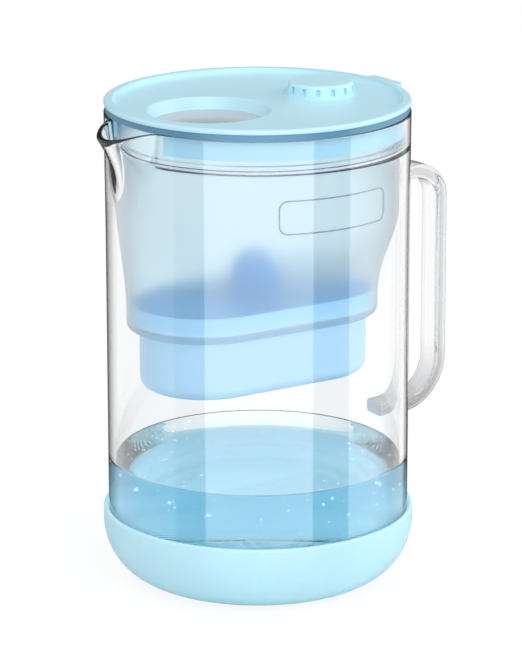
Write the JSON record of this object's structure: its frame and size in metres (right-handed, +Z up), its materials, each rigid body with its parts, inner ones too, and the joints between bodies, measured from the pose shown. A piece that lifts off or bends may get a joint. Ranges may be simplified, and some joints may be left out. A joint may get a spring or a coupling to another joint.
{
  "type": "water filter pitcher",
  "caption": "Glass water jug with a strap handle and soft base, a frosted hanging tank with an oval filter cartridge, and a lid with a sprung fill flap and a turning knob.",
  "frame": {"origin": "centre of the flat foot of the soft base, on the surface that the jug stands on", "axes": "+Z up along the jug's axis, +X towards the handle, -X towards the spout"},
  "size_m": [0.2006, 0.1552, 0.2479],
  "materials": {
    "glass": "clear, polished",
    "silicone": "matte",
    "lid": "satin",
    "lid_band": "matte",
    "flap": "glossy",
    "knob": "satin",
    "tank": "frosted, translucent",
    "seal": "matte",
    "cartridge": "satin",
    "cartridge_top": "satin",
    "mesh": "woven",
    "carbon": "granular",
    "pad": "felt",
    "resin": "granular",
    "steel": "satin"
  },
  "bodies": {
    "jug": {"glass_jug": "glass", "glass_handle": "glass", "silicone_base": "silicone"},
    "tank": {"reservoir": "tank", "reservoir_seal": "seal"},
    "cartridge": {"filter_housing": "cartridge", "filter_cap": "cartridge_top", "filter_seal": "seal", "inlet_mesh": "mesh", "carbon_bed": "carbon", "fibre_pad": "pad", "resin_bed": "resin", "outlet_mesh": "mesh"},
    "lid": {"lid_cover": "lid", "lid_skirt": "lid", "lid_seal": "lid_band", "flap_hinge_pin": "steel", "flap_spring": "steel", "dial_seal": "seal", "dial_washer": "flap"},
    "flap": {"fill_flap": "flap"},
    "dial": {"dial_knob": "knob", "dial_clip": "steel"}
  },
  "joints": [
    {"name": "tank_lift", "type": "slide", "parent": "jug", "child": "tank", "axis": [0, 0, 1], "range_m": [0, 0.15]},
    {"name": "cartridge_lift", "type": "slide", "parent": "tank", "child": "cartridge", "axis": [0, 0, 1], "range_m": [0, 0.145]},
    {"name": "lid_lift", "type": "slide", "parent": "cartridge", "child": "lid", "axis": [0, 0, 1], "range_m": [0, 0.08]},
    {"name": "flap_swing", "type": "hinge", "parent": "lid", "child": "flap", "pos_m": [0.0039, 0, 0.2344], "axis": [0, -1, 0], "range_deg": [0, 80], "stiffness_Nm_per_rad": 0.004, "springref_deg": -57.3, "deforming": ["flap_spring"]},
    {"name": "dial_turn", "type": "hinge", "parent": "lid", "child": "dial", "pos_m": [0.0375, 0, 0.2414], "axis": [0, 0, 1], "continuous": true}
  ]
}
